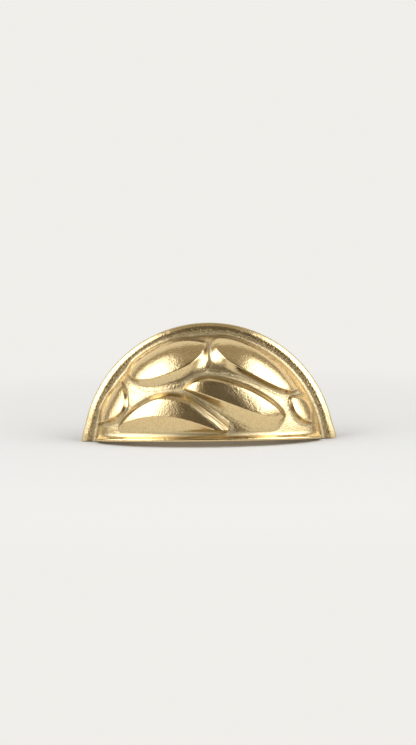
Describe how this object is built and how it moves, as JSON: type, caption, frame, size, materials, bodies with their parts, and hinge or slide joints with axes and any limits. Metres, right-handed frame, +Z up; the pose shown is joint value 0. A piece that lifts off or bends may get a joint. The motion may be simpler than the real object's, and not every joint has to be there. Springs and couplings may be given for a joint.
{
  "type": "cup pull",
  "caption": "Half-moon drawer cup pull in cast brass, with a flat rim, lobed relief on the front, a hollow for the fingers and tapped bosses at the back.",
  "frame": {"origin": "on the flat back, midway between the two tapped holes", "axes": "+X to the right seen from the front, +Y into the drawer front, +Z up"},
  "size_m": [0.096, 0.0254, 0.044],
  "materials": {
    "brass": "hand-polished cast brass with fine pits"
  },
  "bodies": {
    "root": {"cup_pull": "brass"}
  },
  "joints": []
}
